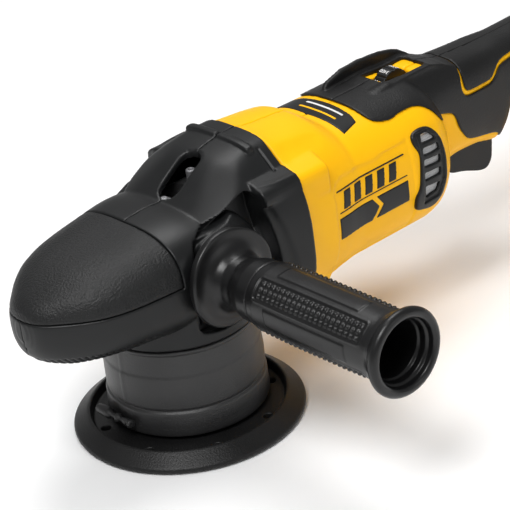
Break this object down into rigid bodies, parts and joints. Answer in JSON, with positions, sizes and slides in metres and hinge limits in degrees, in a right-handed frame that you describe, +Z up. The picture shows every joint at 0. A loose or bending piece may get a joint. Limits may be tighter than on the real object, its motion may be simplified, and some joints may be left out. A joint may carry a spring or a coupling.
{
  "type": "dual action polisher",
  "caption": "Cordless random-orbit car polisher with a round backing pad, screw-in side handle, trigger grip, speed dial and slide-on battery.",
  "frame": {"origin": "on the spindle axis, in the plane of the pad's working face", "axes": "+X back towards the battery, -Y towards the side handle, +Z up along the spindle axis, away from the work"},
  "size_m": [0.4876, 0.2381, 0.1476],
  "materials": {
    "rubber": "matt, fine grain",
    "soft_grip": "satin, fine grain",
    "hook_fabric": "hook pile",
    "black_plastic": "moulded satin",
    "yellow_plastic": "moulded semi-gloss",
    "grey_plastic": "matt",
    "steel": "machined",
    "gear_case_alloy": "die cast",
    "winding_copper": "varnished",
    "circuit_board": "conformal coat",
    "terminal_brass": "polished",
    "cell_wrap": "shrink sleeve"
  },
  "bodies": {
    "housing": {"battery_mount": "black_plastic", "bearing_retainer": "gear_case_alloy", "flange_screw_1": "steel", "flange_screw_2": "steel", "flange_screw_3": "steel", "flange_screw_4": "steel", "gear_case": "gear_case_alloy", "grip_overmold_left": "rubber", "grip_overmold_right": "rubber", "head_cover_left": "black_plastic", "head_cover_right": "black_plastic", "housing_left": "yellow_plastic", "housing_right": "yellow_plastic", "motor_bearing_front": "steel", "motor_bearing_rear": "steel", "motor_bracket": "black_plastic", "motor_controller": "circuit_board", "motor_stator": "winding_copper", "nose_cover": "soft_grip", "pod_overmold_left": "rubber", "pod_overmold_right": "rubber", "shroud": "rubber", "shroud_tether": "grey_plastic", "side_badge_left": "black_plastic", "side_badge_right": "black_plastic", "side_handle_grip": "soft_grip", "side_handle_stud": "steel", "spindle_bearing_lower": "steel", "spindle_bearing_upper": "steel", "switch_module": "black_plastic", "terminal_block": "terminal_brass", "top_badge": "black_plastic", "vent_frame_left": "black_plastic", "vent_frame_right": "black_plastic", "vent_grille_left": "grey_plastic", "vent_grille_right": "grey_plastic"},
    "spindle": {"spindle_shaft": "steel", "ring_gear": "steel", "counterweight": "steel", "pad_bearing": "steel"},
    "rotor": {"pinion": "steel", "motor_shaft": "steel", "rotor_core": "steel", "cooling_fan": "black_plastic"},
    "pad": {"backing_plate": "rubber", "backing_plate_hub": "black_plastic", "hook_face": "hook_fabric", "pad_spindle": "steel", "plate_screw": "steel"},
    "trigger": {"trigger": "black_plastic"},
    "lock_on_button": {"lock_on_button": "black_plastic"},
    "speed_dial": {"speed_dial": "black_plastic"},
    "battery": {"battery_case_base": "black_plastic", "battery_case_top": "black_plastic", "battery_cell_1": "cell_wrap", "battery_cell_2": "cell_wrap", "battery_cell_3": "cell_wrap", "battery_cell_4": "cell_wrap", "battery_cell_5": "cell_wrap"},
    "battery_release": {"battery_release_button": "yellow_plastic"}
  },
  "joints": [
    {"name": "spindle_spin", "type": "hinge", "parent": "housing", "child": "spindle", "pos_m": [0, 0, 0.06], "axis": [0, 0, 1], "continuous": true},
    {"name": "rotor_spin", "type": "hinge", "parent": "housing", "child": "rotor", "pos_m": [0.1, 0, 0.092], "axis": [1, 0, 0], "continuous": true},
    {"name": "pad_spin", "type": "hinge", "parent": "spindle", "child": "pad", "pos_m": [-0.0052, -0.0054, 0.02], "axis": [0, 0, 1], "continuous": true},
    {"name": "trigger_pull", "type": "hinge", "parent": "housing", "child": "trigger", "pos_m": [0.204, 0, 0.084], "axis": [0, -1, 0], "range_deg": [0, 7], "stiffness_Nm_per_rad": 2, "springref_deg": -5.73},
    {"name": "lock_on_press", "type": "slide", "parent": "housing", "child": "lock_on_button", "axis": [0, -1, 0], "range_m": [0, 0.003], "stiffness_N_per_m": 400, "springref_m": -0.002},
    {"name": "speed_dial_turn", "type": "hinge", "parent": "housing", "child": "speed_dial", "pos_m": [0.1705, 0, 0.1247], "axis": [0, 1, 0], "range_deg": [-120, 120]},
    {"name": "battery_slide", "type": "slide", "parent": "housing", "child": "battery", "axis": [0, 0, 1], "range_m": [0, 0.115]},
    {"name": "battery_release_press", "type": "slide", "parent": "battery", "child": "battery_release", "axis": [0, 0, -1], "range_m": [0, 0.003], "stiffness_N_per_m": 500, "springref_m": -0.002}
  ],
  "couplings": [
    {"joint": "rotor_spin", "follows": "spindle_spin", "ratio": 3.75}
  ]
}
